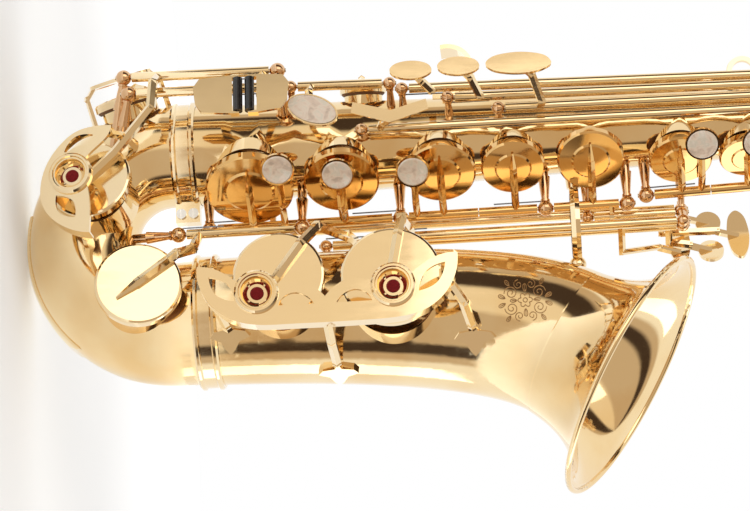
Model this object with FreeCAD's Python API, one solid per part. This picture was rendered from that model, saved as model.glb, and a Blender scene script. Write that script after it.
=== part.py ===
"""Alto saxophone: body, bow, bell, neck, mouthpiece and every key on its own hinge rod.

Working frame, in millimetres: the body tube's axis is Z, with z = 0 where it meets the bow. +X points
from the body to the bell, +Y to the player's left and +Z to the neck. Every piece is moved on export so
that the centre of the strap ring is the origin.
"""
import FreeCAD
import Part
import math
import os

V = FreeCAD.Vector
X, Y, Z = V(1, 0, 0), V(0, 1, 0), V(0, 0, 1)

# ---------------------------------------------------------------- driving dimensions
WALL = 0.8                 # sheet brass of the tubes
BODY_R0, BODY_R1 = 24.5, 12.4   # body cone, outer radius at its lower and upper end
BODY_LEN = 440.0
BELL_X = 84.6              # distance between the body and bell axes
BOW_R = BELL_X / 2
BOW_STRAIGHT = 13.5        # straight run of the bow below z = 0
BELL_R0, BELL_Z0 = 30.5, 3.5    # bell stem where it meets the bow
BELL_THROAT = 37.6         # stem radius where the flare starts
RIM_R = 61.3
RIM_CENTRE = V(124.0, -6.0, 206.0)
RIM_TILT, RIM_TURN = 32.0, 7.5  # degrees: forward from Z, and to the player's right
FLARE = ((37.6, 0, 4), (39.2, 9, 12), (42.3, 18, 24), (46.5, 25, 38), (52.0, 30.5, 52), (57.0, 33.4, 66),
         (61.3, 34.6, 78))      # radius, height and slope of the flare's skin
FLARE_H = 34.6
TUBE_R, TUBE_BORE, ROD_R = 2.4, 1.06, 1.0   # hinge tube, its bore, and the steel rod in it
END_GAP = 0.3              # free play at the end of a hinge tube
BALL_R = 3.8               # head of a post
PAD_GAP = 0.25             # between a closed pad and its seat
CUP_H, CUP_WALL = 5.2, 0.8
PEARL_R = 7.2
RING_Z, RING_BORE, RING_HALF = 270.0, 5.0, 1.6


def body_radius(z):
    return BODY_R0 + (BODY_R1 - BODY_R0) * z / BODY_LEN


def around(z, phi, r):
    """Point at height z and radius r; phi is the angle in degrees from +X towards the player's right."""
    a = math.radians(phi)
    return V(r * math.cos(a), -r * math.sin(a), z)


RING_CENTRE = V(-(body_radius(RING_Z) + RING_BORE + 4.5), 0, RING_Z)


# ---------------------------------------------------------------- solids
def unit(v):
    w = V(v)
    w.normalize()
    return w


def cyl(p, q, r):
    return Part.makeCylinder(r, (q - p).Length, p, q - p)


def cone(p, q, r1, r2):
    return Part.makeCone(r1, r2, (q - p).Length, p, q - p)


def ball(p, r):
    return Part.makeSphere(r, p)


def fuse(shapes):
    shapes = list(shapes)
    if len(shapes) == 1:
        return shapes[0]
    return shapes[0].multiFuse(shapes[1:]).removeSplitter()


def placed(shape, origin, normal, spin=None):
    """Moves a shape built at the origin about +Z so that its +Z is normal and, if given, its +X is near spin."""
    n = unit(normal)
    x = V(spin) if spin else (X if abs(n.x) < 0.9 else Y)
    x = unit(x - n * x.dot(n))
    y = n.cross(x)
    m = FreeCAD.Matrix(x.x, y.x, n.x, origin.x, x.y, y.y, n.y, origin.y, x.z, y.z, n.z, origin.z, 0, 0, 0, 1)
    out = shape.copy()
    out.Placement = FreeCAD.Placement(m).multiply(out.Placement)
    return out


def revolved(points):
    """Solid of revolution about Z from a closed outline of (radius, height) points."""
    wire = Part.makePolygon([V(r, 0, h) for r, h in points + points[:1]])
    return Part.Face(wire).revolve(V(), Z, 360)


def slab(outline, thick, origin, normal, spin=None, holes=()):
    """Flat plate: an outline of (x, y) points in the plate's own plane, rounded by a closed curve, less its holes."""
    face = Part.Face(closed_curve(outline))
    plate = face.extrude(V(0, 0, thick))
    for hole in holes:
        cutter = Part.Face(closed_curve(hole)).extrude(V(0, 0, thick + 2))
        cutter.translate(V(0, 0, -1))
        plate = plate.cut(cutter)
    return placed(plate, origin, normal, spin)


def closed_curve(points):
    """Closed wire through the points: a smooth spline, or straight sides where a point is given as (x, y, 'corner')."""
    if any(len(p) == 3 for p in points):
        return Part.makePolygon([V(p[0], p[1], 0) for p in points + points[:1]])
    curve = Part.BSplineCurve()
    curve.interpolate([V(x, y, 0) for x, y in points], PeriodicFlag=True)
    return Part.Wire(curve.toShape())


def section(p, along, up, w, h):
    """Five-sided wire of an arm's section: a flat base w wide and a ridge h high, centred on p."""
    t = unit(along)
    if t.cross(up).Length < 0.25:
        up = X if abs(t.x) < 0.8 else Z
    side = unit(t.cross(up))
    top = side.cross(t)
    pts = [side * (-w / 2) - top * (h / 2), side * (w / 2) - top * (h / 2), side * (w / 2) + top * (h * 0.1),
           top * (h / 2), side * (-w / 2) + top * (h * 0.1)]
    return Part.makePolygon([p + q for q in pts + pts[:1]])


def arm(points, up, w=3.4, h=3.4, tip=0.3):
    """Ridged arm through the points, which narrows over its last run to tip times its size."""
    parts = []
    for i, (p, q) in enumerate(zip(points, points[1:])):
        last = i == len(points) - 2
        k = tip if last else 1.0
        t = unit(q - p)
        start, end = p - t * (0.0 if i == 0 else w * 0.3), q + t * (0 if last else w * 0.3)
        parts.append(Part.makeLoft([section(start, t, up, w, h), section(end, t, up, w * k, h * k)], True, True))
    return fuse(parts)


# ---------------------------------------------------------------- tubes of the body
def ring_at(p, n, r):
    return Part.Wire(Part.Circle(p, n, r).toShape())


def rim_direction():
    a, b = math.radians(RIM_TILT), math.radians(RIM_TURN)
    return V(math.sin(a) * math.cos(b), -math.sin(b), math.cos(a) * math.cos(b))


def stem_axis(t):
    """Point, direction and radius of the bell stem's axis: a cubic Bezier curve from the bow to the flare."""
    top = RIM_CENTRE - rim_direction() * FLARE_H
    p = [V(BELL_X, 0, BELL_Z0), V(BELL_X, 0, BELL_Z0 + 97), top - rim_direction() * 28, top]
    s = 1 - t
    here = p[0] * s**3 + p[1] * (3 * s * s * t) + p[2] * (3 * s * t * t) + p[3] * t**3
    way = (p[1] - p[0]) * (3 * s * s) + (p[2] - p[1]) * (6 * s * t) + (p[3] - p[2]) * (3 * t * t)
    return here, unit(way), BELL_R0 + (BELL_THROAT - BELL_R0) * t


def stem(grow, past):
    wires = []
    for i in range(9):
        p, n, r = stem_axis(i / 8)
        wires.append(ring_at(p, n, r + grow))
    return Part.makeLoft(wires, True, False)


def flare(grow):
    """Revolved flare about the rim's own axis: its skin opens ever faster to the rim."""
    outline = []
    for r, h, slope in FLARE:
        away = math.radians(slope)
        outline.append(V(r + grow * math.cos(away), 0, h - grow * math.sin(away)))
    curve = Part.BSplineCurve()
    curve.interpolate(outline)
    first, last = outline[0], outline[-1]
    low, high = V(first.x, 0, -0.6), V(last.x + 1, 0, last.z + 0.01)
    tail = [last, V(0, 0, last.z), V(0, 0, low.z), low, first]
    if grow < 0:
        tail = [last, high, V(high.x, 0, FLARE_H + 3), V(0, 0, FLARE_H + 3), V(0, 0, low.z), low, first]
    edges = [curve.toShape()] + [Part.makeLine(p, q) for p, q in zip(tail, tail[1:])]
    solid = Part.Face(Part.Wire(edges)).revolve(V(), Z, 360)
    top = RIM_CENTRE - rim_direction() * FLARE_H
    return placed(solid, top, rim_direction())


def make_bell():
    p, n, r = stem_axis(0)
    outer = stem(0, 0).fuse(flare(0))
    inner = stem(-WALL, 0).multiFuse([flare(-WALL), cyl(p - n, p + n * 0.01, r - WALL)])
    bell = with_chimneys(outer, inner, ["low_b", "low_bb"])
    bead = placed(Part.makeTorus(RIM_R, 1.5), RIM_CENTRE, rim_direction())
    return bell.fuse(bead)


def bow_axis(s):
    """Point, direction and radius of the bow's axis, s from 0 at the body to 1 at the bell."""
    arc = math.pi * BOW_R
    rise = BOW_STRAIGHT + BELL_Z0
    total = BOW_STRAIGHT + arc + rise
    d = s * total
    r = BODY_R0 + (BELL_R0 - BODY_R0) * s
    if d <= BOW_STRAIGHT:
        return V(0, 0, -d), V(0, 0, -1), r
    if d >= BOW_STRAIGHT + arc:
        return V(BELL_X, 0, -BOW_STRAIGHT + d - BOW_STRAIGHT - arc), V(0, 0, 1), r
    a = (d - BOW_STRAIGHT) / BOW_R
    return (V(BOW_R - BOW_R * math.cos(a), 0, -BOW_STRAIGHT - BOW_R * math.sin(a)),
            V(math.sin(a), 0, -math.cos(a)), r)


def bow_loft(grow):
    wires = []
    steps = 16
    for i in range(steps + 1):
        p, n, r = bow_axis(i / steps)
        wires.append(ring_at(p, n, r + grow))
    return Part.makeLoft(wires, True, False)


# ---------------------------------------------------------------- tone holes
class Hole:
    """A tone hole: the centre and outward normal of its seat, its bore radius, and how far its wall reaches in."""

    def __init__(self, seat, normal, bore, cup, depth):
        self.seat, self.normal, self.bore, self.cup, self.depth = seat, unit(normal), bore, cup, depth


def on_body(z, phi, bore, cup, rise=2.2):
    seat = body_radius(z) + rise
    reach = max(3.0, math.sqrt(max(1.0, (body_radius(z) - WALL) ** 2 - bore**2)) - 6.0)
    return Hole(around(z, phi, seat), around(0, phi, 1), bore, cup, seat - reach)


def on_bow(s, theta, bore, cup):
    """Tone hole on the bow: theta turns from the outside of the bend towards the player's right."""
    p, n, r = bow_axis(s)
    a = math.radians(theta)
    out = unit(Y.cross(n) * math.cos(a) - Y * math.sin(a))
    return Hole(p + out * (r + 2.6), out, bore, cup, 16.0)


HOLES = {
    "d": on_body(28.0, 42, 17.3, 21.3),
    "e": on_body(72.6, 44, 14.6, 18.2),
    "f": on_body(120.5, 45, 13.6, 17.0),
    "fsharp": on_body(155.5, 45, 11.9, 15.4),
    "gsharp": on_body(193.0, 42, 11.6, 16.2),
    "g": on_body(236.0, 38, 11.4, 15.2),
    "a": on_body(268.0, 34, 10.0, 13.4),
    "bis": on_body(295.5, 32, 7.2, 10.4),
    "b": on_body(319.0, 32, 7.6, 10.6),
    "c": on_body(342.5, 32, 6.2, 9.4),
    "side_fsharp": on_body(84.0, 168, 8.6, 11.4),
    "side_bb": on_body(300.0, 152, 6.2, 9.2),
    "side_c": on_body(325.0, 148, 5.8, 8.8),
    "high_e": on_body(378.0, 133, 5.2, 8.0),
    "high_fsharp": on_body(408.0, 120, 4.2, 7.0),
    "palm_d": on_body(350.0, -96, 5.6, 8.6),
    "palm_eb": on_body(377.0, -72, 5.2, 8.0),
    "palm_f": on_body(400.0, -100, 4.8, 7.6),
    "low_eb": on_bow(0.15, 15, 13.2, 16.4),
    "low_c": Hole(V(24.5, -36.0, -45.5), V(-0.12, -0.985, -0.12), 16.2, 20.2, 20.0),
    "low_csharp": Hole(V(75.0, -37.5, -25.0), V(-0.16, -0.98, 0.12), 17.0, 20.8, 20.0),
    "low_b": Hole(V(82.5, -43.0, 43.0), V(0, -1, 0), 18.2, 21.7, 26.0),
    "low_bb": Hole(V(86.0, -46.0, 96.0), V(0, -1, 0), 20.2, 23.8, 27.0),
}
BODY_HOLES = [n for n in HOLES if not n.startswith("low_")]


def chimney(hole, grow, past=0.0):
    inner = hole.seat - hole.normal * hole.depth
    return cyl(inner, hole.seat + hole.normal * past, hole.bore + grow)


def with_chimneys(outer, inner, names):
    """A hollow tube with the wall of each tone hole drawn up out of it, and the hole open."""
    walls = [chimney(HOLES[n], WALL) for n in names]
    skin = outer.multiFuse(walls)
    bores = [chimney(HOLES[n], 0, 1) for n in names]
    return skin.cut(inner.multiFuse(bores))


def make_body_tube():
    outer = cone(V(), V(0, 0, BODY_LEN), BODY_R0, BODY_R1)
    inner = cone(V(0, 0, -1), V(0, 0, BODY_LEN + 1), body_radius(-1) - WALL, body_radius(BODY_LEN + 1) - WALL)
    tube = with_chimneys(outer, inner, BODY_HOLES)
    pip_wall = cyl(around(PIP_Z, PIP_PHI, 10), around(PIP_Z, PIP_PHI, PIP_SEAT), PIP_R)
    pip_bore = cyl(around(PIP_Z, PIP_PHI, 5), around(PIP_Z, PIP_PHI, PIP_SEAT + 1), PIP_R - 1.5)
    return tube.fuse(pip_wall.cut(inner)).cut(pip_bore)


PIP_Z, PIP_PHI, PIP_R = 388.0, 180.0, 2.6
PIP_SEAT = body_radius(PIP_Z) + 3.4



# ---------------------------------------------------------------- hinges and keys
class Line:
    """The line of a hinge rod that runs up the instrument; at(z) is its point at height z."""

    def __init__(self, a, b):
        self.a, self.k = a, unit(b - a)

    def at(self, z):
        return self.a + self.k * ((z - self.a.z) / self.k.z)

    def foot(self, p):
        return self.a + self.k * (p - self.a).dot(self.k)

    def distance(self, p):
        return (p - self.foot(p)).Length


def beside(phi, rise, z0, z1):
    """Hinge line that keeps the same height above the tapering body."""
    return Line(around(z0, phi, body_radius(z0) + rise), around(z1, phi, body_radius(z1) + rise))


STACK = Line(V(38.6, -2, 6), V(37.7, -2, 210))
UPPER = Line(V(34.0, -1, 219), V(30.2, -1, 356))
LINES = {
    "stack": STACK, "upper": UPPER,
    "csharp": Line(V(43.7, -14.2, -8), V(43.7, -14.2, 52.3)),
    "csharp_lever": Line(V(38.3, 11.9, 36), V(38.3, 11.9, 236)),
    "b": Line(V(48.4, 5.3, 62), V(48.4, 5.3, 236)),
    "bb": Line(V(48.3, -3.0, 88), V(48.3, -3.0, 236)),
    "gsharp_lever": Line(V(41.7, 6.0, 190), V(41.7, 6.0, 236)),
    "c": Line(V(-32.1, -31.9, -30.5), V(-30.4, -33.5, 44.6)),
    "eb": Line(V(-23.4, -33.1, -28.1), V(-22.3, -33.4, 45.7)),
    "side_fsharp": beside(134, 12, 50, 98),
    "side_bb": beside(125, 12, 104, 313),
    "side_c": beside(112, 12, 126, 338),
    "high_e": beside(99, 12, 150, 391),
    "high_fsharp": beside(86, 12, 84, 420),
    "palm_d": beside(-60, 9, 308, 362),
    "palm_eb": beside(-40, 9, 332, 390),
    "palm_f": beside(-132, 9, 356, 412),
    "pip": beside(-155, 8, 330, 396),
    "thumb": beside(-135, 9, 282, 328),
    "front_f": beside(12, 16, 362, 388),
}


def flat_cup_shell(c):
    """A plain pad cup with a flat top and a rounded edge."""
    g = PAD_GAP
    return revolved([(0, g + 3.5), (c - 0.8, g + 3.5), (c - 0.8, g + 1), (c, g + 1), (c, g + 4.1), (c - 0.4, g + 4.9),
                     (c - 1.3, g + 5.3), (0, g + 5.5)])


def cup_shell(c):
    g = PAD_GAP
    return revolved([(0, g + 3.5), (c - 0.8, g + 3.5), (c - 0.8, g + 1), (c, g + 1), (c, g + 4.3), (c - 0.9, g + 5.1),
                     (c * 0.58, g + 5.4), (c * 0.52, g + 6.0), (0, g + 6.2)])


def pad(c):
    g, r = PAD_GAP, c - 0.86
    rivet = min(4.5, r * 0.35)
    disc = revolved([(0, g + 0.3), (rivet, g + 0.3), (rivet, g), (r - 0.8, g), (r, g + 0.7), (r, g + 3.44), (0, g + 3.44)])
    return disc


PEARL_SEAT = [(0, -3.2), (5.6, -3.2), (PEARL_R + 0.9, -1.8), (PEARL_R + 0.9, 0), (PEARL_R + 0.05, 0),
              (PEARL_R + 0.05, -1.6), (0, -1.6)]
PEARL = [(0, -1.55), (PEARL_R, -1.55), (PEARL_R, 0.1), (PEARL_R - 0.6, 0.5), (PEARL_R * 0.5, -0.15), (0, -0.35)]


def scaled(points, k):
    return [(r * k, h) for r, h in points]


class Key:
    """One key, built closed about its hinge line and turned open by rest degrees for its pose at rest."""

    def __init__(self, name, line, z0, z1, hole=None, rest=0.0):
        self.name, self.line, self.rest = name, LINES[line], rest
        self.metal, self.inserts = [cyl(self.line.at(z0), self.line.at(z1), TUBE_R)], []
        self.hole = HOLES[hole] if hole else None
        self.span = (z0, z1)
        self.sense = 1
        if self.hole:
            lever = self.hole.seat - self.line.foot(self.hole.seat)
            self.sense = 1 if self.line.k.cross(lever).dot(self.hole.normal) > 0 else -1
            self.cup(self.hole)

    def closed(self, p):
        """Where a point of the resting key lies when the key is closed."""
        q = Part.Vertex(p)
        q.rotate(self.line.a, self.line.k, -self.sense * self.rest)
        return q.Point

    def cup(self, hole):
        shell = flat_cup_shell if self.name.startswith("low_") else cup_shell
        self.metal.append(placed(shell(hole.cup), hole.seat, hole.normal))
        self.inserts.append(placed(pad(hole.cup), hole.seat, hole.normal))

    def arm_to_cup(self, via=(), w=3.6, h=3.6, start=None, beyond=0.62):
        hole, n = self.hole, self.hole.normal
        top = hole.seat + n * (PAD_GAP + 7.0)
        begin = self.line.at(start) if start is not None else self.line.foot(hole.seat)
        last = list(via)[-1] if via else begin
        way = top - last
        way = unit(way - n * way.dot(n))
        edge = top - way * (hole.cup * 0.86) + n * 0.5
        tip = top + way * (hole.cup * beyond) - n * 0.9
        self.metal.append(arm([begin] + list(via) + [edge, top, tip], n, w, h))

    def pearl(self, centre, normal, z=None, k=1.0, via=None):
        centre = self.closed(centre)
        n = unit(normal)
        self.metal.append(placed(revolved(scaled(PEARL_SEAT, k)), centre, n))
        self.inserts.append(placed(revolved(scaled(PEARL, k)), centre, n))
        begin = self.line.at(centre.z if z is None else z)
        knee = self.closed(via) if via else begin + (centre - begin) * 0.35 + n * 1.5
        self.metal.append(arm([begin, knee, centre - n * 3.5], n, 3.4, 3.2, 0.8))

    def plate(self, outline, thick, centre, normal, spin, via, holes=(), w=3.6):
        """Flat touch plate, joined to the hinge by an arm through the points of via."""
        self.metal.append(slab(outline, thick, centre, normal, spin, holes))
        self.metal.append(arm(list(via) + [centre + unit(normal) * (thick * 0.4)], normal, w, 2.8, 0.8))

    def solid(self):
        bore = cyl(self.line.at(self.span[0] - 5), self.line.at(self.span[1] + 5), TUBE_BORE)
        metal = fuse(self.metal).cut(bore)
        whole = Part.makeCompound(metal.Solids + self.inserts)
        whole.rotate(self.line.a, self.line.k, self.sense * self.rest)
        return whole


def oval(a, b, n=12):
    return [(a * math.cos(2 * math.pi * i / n), b * math.sin(2 * math.pi * i / n)) for i in range(n)]


# ---------------------------------------------------------------- the keys
def stack_keys():
    """The main line of keys on the front of the body, for the three middle fingers of each hand."""
    keys = []
    rows = [("d_key", "stack", 10.1, 50.3, "d", V(21.3, -38.5, 43.2), 1.0),
            ("e_key", "stack", 50.8, 95.4, "e", V(25.6, -38.4, 71.7), 1.0),
            ("f_key", "stack", 103.6, 137.2, "f", V(25.5, -35.9, 107.7), 1.0),
            ("g_key", "upper", 223.1, 250.0, "g", around(246, 60, 41), 1.0),
            ("a_key", "upper", 250.5, 282.0, "a", around(273, 58, 39), 1.0),
            ("bis_key", "upper", 282.5, 306.0, "bis", around(297, 54, 35), 0.6),
            ("b_key", "upper", 306.5, 330.0, "b", around(321, 56, 37), 1.0)]
    for name, line, z0, z1, hole, pearl, k in rows:
        key = Key(name, line, z0, z1, hole, 9.0)
        key.arm_to_cup()
        key.pearl(pearl, around(0, 58, 1), None, k)
        keys.append(key)
    for name, line, z0, z1, hole in (("fsharp_cup", "stack", 137.7, 165.9, "fsharp"),
                                     ("c_cup", "upper", 330.5, 351.8, "c")):
        key = Key(name, line, z0, z1, hole, 9.0)
        key.arm_to_cup()
        keys.append(key)
    gsharp = Key("gsharp_key", "stack", 174.1, 205.5, "gsharp")
    gsharp.arm_to_cup()
    tail = gsharp.line.at(202)
    gsharp.metal.append(arm([tail, tail + V(5.2, -1.4, 0)], Z, 2.8, 2.8, 0.8))
    keys.append(gsharp)
    return keys


def bell_keys():
    """Low B and low B flat: long tubes from the left little finger's table down to cups on the bell's side."""
    keys = []
    b = Key("low_b_key", "b", 65.4, 232.6, "low_b", 6.0)
    b.arm_to_cup([V(50.0, -12, 73), V(57, -45, 62)], 4.4, 4.0, 77)
    bb = Key("low_bb_key", "bb", 91.4, 232.6, "low_bb", 6.0)
    bb.arm_to_cup([V(50.0, -20, 104), V(57, -50.5, 102)], 4.4, 4.0, 105)
    for key, row, at in ((b, TABLE["b"], 229), (bb, TABLE["bb"], 206)):
        table_touch(key, row, at)
        keys.append(key)
    csharp = Key("low_csharp_key", "csharp", -3.9, 48.2, "low_csharp")
    csharp.arm_to_cup([V(54.0, -27.0, 0.5), V(60.0, -41.5, -6.0)], 4.4, 4.0, 2)
    tail = csharp.line.at(44)
    csharp.metal.append(arm([tail, V(45.4, -4, 44), V(45.6, 4.4, 44)], Z, 3.4, 3.0, 0.9))
    keys.append(csharp)
    lever = Key("csharp_lever", "csharp_lever", 39.4, 232.6)
    begin = lever.line.at(44)
    lever.metal.append(arm([begin, V(41.4, 6.6, 44), V(42.6, 3.4, 44)], Z, 3.2, 3.0, 0.9))
    table_touch(lever, TABLE["csharp"], 222)
    keys.append(lever)
    glever = Key("gsharp_lever", "gsharp_lever", 193.4, 232.6)
    begin = glever.line.at(202)
    glever.metal.append(arm([begin, V(43.4, 0.9, 202)], Z, 2.8, 2.8, 0.9))
    table_touch(glever, TABLE["gsharp"], 226)
    keys.append(glever)
    return keys


TABLE_AT = V(49.0, 24.0, 248.0)
TABLE_N = unit(V(0.55, 0.835, 0))
TABLE_T = unit(V(0.835, -0.55, 0))
TABLE_THICK = 1.6
# Each plate: its centre across and up the table, half width, half height, and how far off centre its arm joins.
TABLE = {"gsharp": (0, 15.5, 17, 5.4, 1.5), "csharp": (-9.4, 1.5, 8.0, 6.2, 0), "b": (9.4, 1.5, 8.0, 6.2, 0),
         "bb": (0, -13.5, 17, 5.4, 8.0)}


def on_table(across, up, out=0.0):
    return TABLE_AT + TABLE_T * across + Z * up + TABLE_N * out


def table_touch(key, row, z):
    """A lens-shaped plate of the left little finger's table, and the arm that carries it."""
    across, up, a, b, joint = row
    plate = slab(oval(a, b), TABLE_THICK, on_table(across, up), TABLE_N, TABLE_T)
    begin = key.line.at(z)
    lift = begin + TABLE_N * ((TABLE_AT - begin).dot(TABLE_N) - 6.0)
    under = on_table(across + joint, up, -3.4)
    under = V(under.x, under.y, max(z + 2, under.z - 10))
    key.metal.append(plate)
    key.metal.append(arm([begin, lift, under, on_table(across + joint, up, 0.4)], Z, 2.6, 3.4, 1.0))


def low_keys():
    """Low C and E flat, for the right little finger, each with a roller on the facing edge of its touch."""
    c = Key("low_c_key", "c", -26.4, 40.5, "low_c", 6.0)
    c.arm_to_cup([V(-20.4, -50.5, -14.0), V(-7.0, -51.5, -15.0)], 4.2, 4.0, -14)
    eb = Key("low_eb_key", "eb", -24.2, 41.8, "low_eb")
    eb.arm_to_cup([eb.line.at(-21) + V(-3.6, 5.0, 0)], 3.8, 3.6, -21)
    for key, z0, z1, up in ((eb, 6.5, 24.6, 18.0), (c, 31.4, 49.0, 37.4)):
        pinky_touch(key, z0, z1, up)
    return [c, eb]


PINKY_N = unit(V(-0.22, -0.975, 0.0))
PINKY_D = unit(V(0.975, -0.22, 0.0))
PINKY_AT = V(-12.5, -53.0, 0.0)
ROLLERS = {"eb_roller": 26.9, "c_roller": 32.5}
ROLLER_R, ROLLER_BORE, ROLLER_HALF = 2.3, 0.9, 9.0
PIN_OUT = 0.6


def on_pinky(across, z, out=0.0):
    return PINKY_AT + PINKY_D * across + Z * z + PINKY_N * out


def pinky_touch(key, z0, z1, z_arm):
    """Curved-sided plate with two lugs that hold its roller's pin."""
    first = key.name == "low_eb_key"
    roller = key.closed(on_pinky(0, ROLLERS["eb_roller" if first else "c_roller"], PIN_OUT))
    lean = 1 if first else -1
    far, near = (z0, z1 - 0.3) if first else (z1 + 1.5, z0 + 4.6)
    sheet = [(-10.5, near, 1), (10.5, near, 1), (9.0, far + lean * 3, 1), (4, far, 1), (-5, far - lean * 1, 1),
             (-9.5, far + lean * 2, 1)]
    place = key.closed(on_pinky(0, 0))
    turn = key.closed(on_pinky(0, 0, 1)) - place
    across = key.closed(on_pinky(1, 0)) - place
    flat = [(x, y if (turn.cross(across)).z > 0 else -y, 1) for x, y, _ in sheet]
    key.metal.append(slab(flat, 1.6, place, turn, across))
    for side in (-1, 1):
        lug = Part.makeBox(1.2, 3.4, abs(roller.z - near) + 1.4)
        lug.translate(V(ROLLER_HALF + 0.3 if side > 0 else -ROLLER_HALF - 1.5, -1.8, min(near, roller.z) - 0.7))
        key.metal.append(placed_upright(lug, place, across, turn))
        key.metal.append(cyl(roller + across * (side * (ROLLER_HALF + 1.4)), roller, 0.8))
    begin = key.line.at(z_arm)
    rise = begin + (place + Z * z_arm - begin) * 0.5 + turn * -1.0
    key.metal.append(arm([begin, rise, place + Z * z_arm + turn * 0.5], turn, 4.0, 3.0, 0.9))


def placed_upright(shape, origin, across, out):
    """Moves a shape so that its X runs across, its Y outwards and its Z up."""
    a, o = unit(across), unit(out)
    m = FreeCAD.Matrix(a.x, o.x, 0, origin.x, a.y, o.y, 0, origin.y, a.z, o.z, 1, origin.z, 0, 0, 0, 1)
    new = shape.copy()
    return new.transformGeometry(m)


def side_keys():
    """Right-hand side keys, high F sharp and side F sharp: long tubes to small cups further up the body."""
    keys = []
    rows = [("side_bb_key", "side_bb", 107.6, 309.6, "side_bb", V(-19.5, -52, 109.6), 10.0, 4.8, 118),
            ("side_c_key", "side_c", 129.6, 334.6, "side_c", V(-19.4, -54, 132.4), 10.0, 4.8, 141),
            ("high_e_key", "high_e", 153.6, 387.6, "high_e", V(-18.1, -57, 160.9), 15.5, 5.6, 170)]
    for name, line, z0, z1, hole, touch, a, b, z in rows:
        key = Key(name, line, z0, z1, hole)
        key.arm_to_cup((), 3.2, 3.0)
        begin = key.line.at(z)
        out = V(begin.x * 0.6, -46, z + 1)
        key.plate(oval(a, b), 2.0, touch, V(-0.15, -0.98, 0.05), Z,
                  [begin, out, V(touch.x * 0.75, touch.y + 1.5, z - 3)])
        keys.append(key)
    key = Key("high_fsharp_key", "high_fsharp", 87.6, 416.6, "high_fsharp")
    key.arm_to_cup((), 3.2, 3.0)
    begin = key.line.at(92)
    chevron = [(-18, 4.5, 1), (0, -1.5, 1), (19, 4.0, 1), (18, 9.0, 1), (1, 4.5, 1), (-17, 9.5, 1)]
    key.plate(chevron, 1.8, V(1.5, -44, 98), V(0.1, -1, 0), Z, [begin, begin + V(0, -7, 2)])
    keys.append(key)
    key = Key("side_fsharp_key", "side_fsharp", 53.6, 94.4, "side_fsharp")
    key.arm_to_cup((), 3.2, 3.0)
    begin = key.line.at(60)
    centre = V(-5.0, -47.9, 61.7)
    key.metal.append(placed(egg(0.9, -3.2, 0), centre, V(0.1, -1, 0), V(0.35, 0, 0.94)))
    key.inserts.append(placed(egg(0.0, -1.5, 0.7), centre, V(0.1, -1, 0), V(0.35, 0, 0.94)))
    key.metal.append(arm([begin, V(-16, -42, 60), centre + V(0, 3.4, 0)], V(0, -1, 0), 3.6, 3.0, 0.8))
    keys.append(key)
    return keys


def egg(grow, low, high):
    """Long oval button, 25 by 13 mm; with grow it is the open metal tray the button sits in."""
    solid = Part.Face(closed_curve(oval(11.8 + grow, 6.2 + grow, 16))).extrude(V(0, 0, high - low))
    solid.translate(V(0, 0, low))
    if not grow:
        return solid
    hollow = Part.Face(closed_curve(oval(12.1, 6.5, 16))).extrude(V(0, 0, 5))
    hollow.translate(V(0, 0, -1.55))
    return solid.cut(hollow)


def palm_keys():
    """Palm keys D, E flat and F on the left side, with domed touches."""
    keys = []
    rows = [("palm_d_key", "palm_d", 311.3, 358.7, "palm_d", 322, -98, 24.5, -84),
            ("palm_eb_key", "palm_eb", 335.3, 386.7, "palm_eb", 343, -66, 24.5, -54),
            ("palm_f_key", "palm_f", 359.3, 408.7, "palm_f", 366, -108, 24.5, -118)]
    for name, line, z0, z1, hole, z, phi, rise, phi_mid in rows:
        key = Key(name, line, z0, z1, hole)
        key.arm_to_cup((), 3.2, 3.0)
        touch = around(z, phi, body_radius(z) + rise)
        begin = key.line.at(z + 2)
        mid = around(z + 2, phi_mid, body_radius(z) + rise * 0.75)
        key.plate(oval(15, 6.6), 2.2, touch, around(0, phi, 1), Z, [begin, mid])
        keys.append(key)
    return keys


def octave_keys():
    """The thumb's octave lever, the pip key it lifts and the forked upper F touch."""
    thumb = Key("octave_thumb", "thumb", 285.4, 324.6)
    begin = thumb.line.at(313)
    centre = around(314, -163, body_radius(314) + 9.0)
    crescent = [(-10, 2), (-6, -3.5), (0, -5), (6, -3.5), (10, 2), (8, 6), (0, 7.5), (-8, 6)]
    thumb.plate(crescent, 2.0, centre, around(0, -163, 1), around(0, 107, 1), [begin, around(313.5, -148, 27.0)])
    tail = thumb.line.at(322)
    thumb.metal.append(arm([tail, around(322.5, -140, 31.0), around(333, -146, 32.0)], X, 3.0, 2.6, 0.9))
    pip = Key("octave_pip_key", "pip", 334.2, 392.0)
    seat = around(PIP_Z, PIP_PHI, PIP_SEAT)
    pip.hole = Hole(seat, around(0, PIP_PHI, 1), 2, 3.7, 5)
    lever = seat - pip.line.foot(seat)
    pip.sense = 1 if pip.line.k.cross(lever).dot(pip.hole.normal) > 0 else -1
    pip.metal.append(placed(cup_shell(3.7), pip.hole.seat, pip.hole.normal))
    pip.inserts.append(placed(pad(3.7), pip.hole.seat, pip.hole.normal))
    pip.arm_to_cup((), 2.6, 2.4)
    tail = pip.line.at(338)
    pip.metal.append(arm([tail, around(338, -148, 28.6)], Z, 2.8, 2.4, 0.9))
    front = Key("front_f_key", "front_f", 365.3, 384.7)
    touch = around(360, 36, 35.0)
    drop = [(-9, 0), (-5, -4.4), (2, -5.0), (8, -3.2), (10, 0), (8, 3.2), (2, 5.0), (-5, 4.4)]
    begin = front.line.at(372)
    front.plate(drop, 2.0, touch, around(0, 40, 1), Z, [begin, around(367, 26, 35.0)])
    return [thumb, pip, front]


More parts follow.
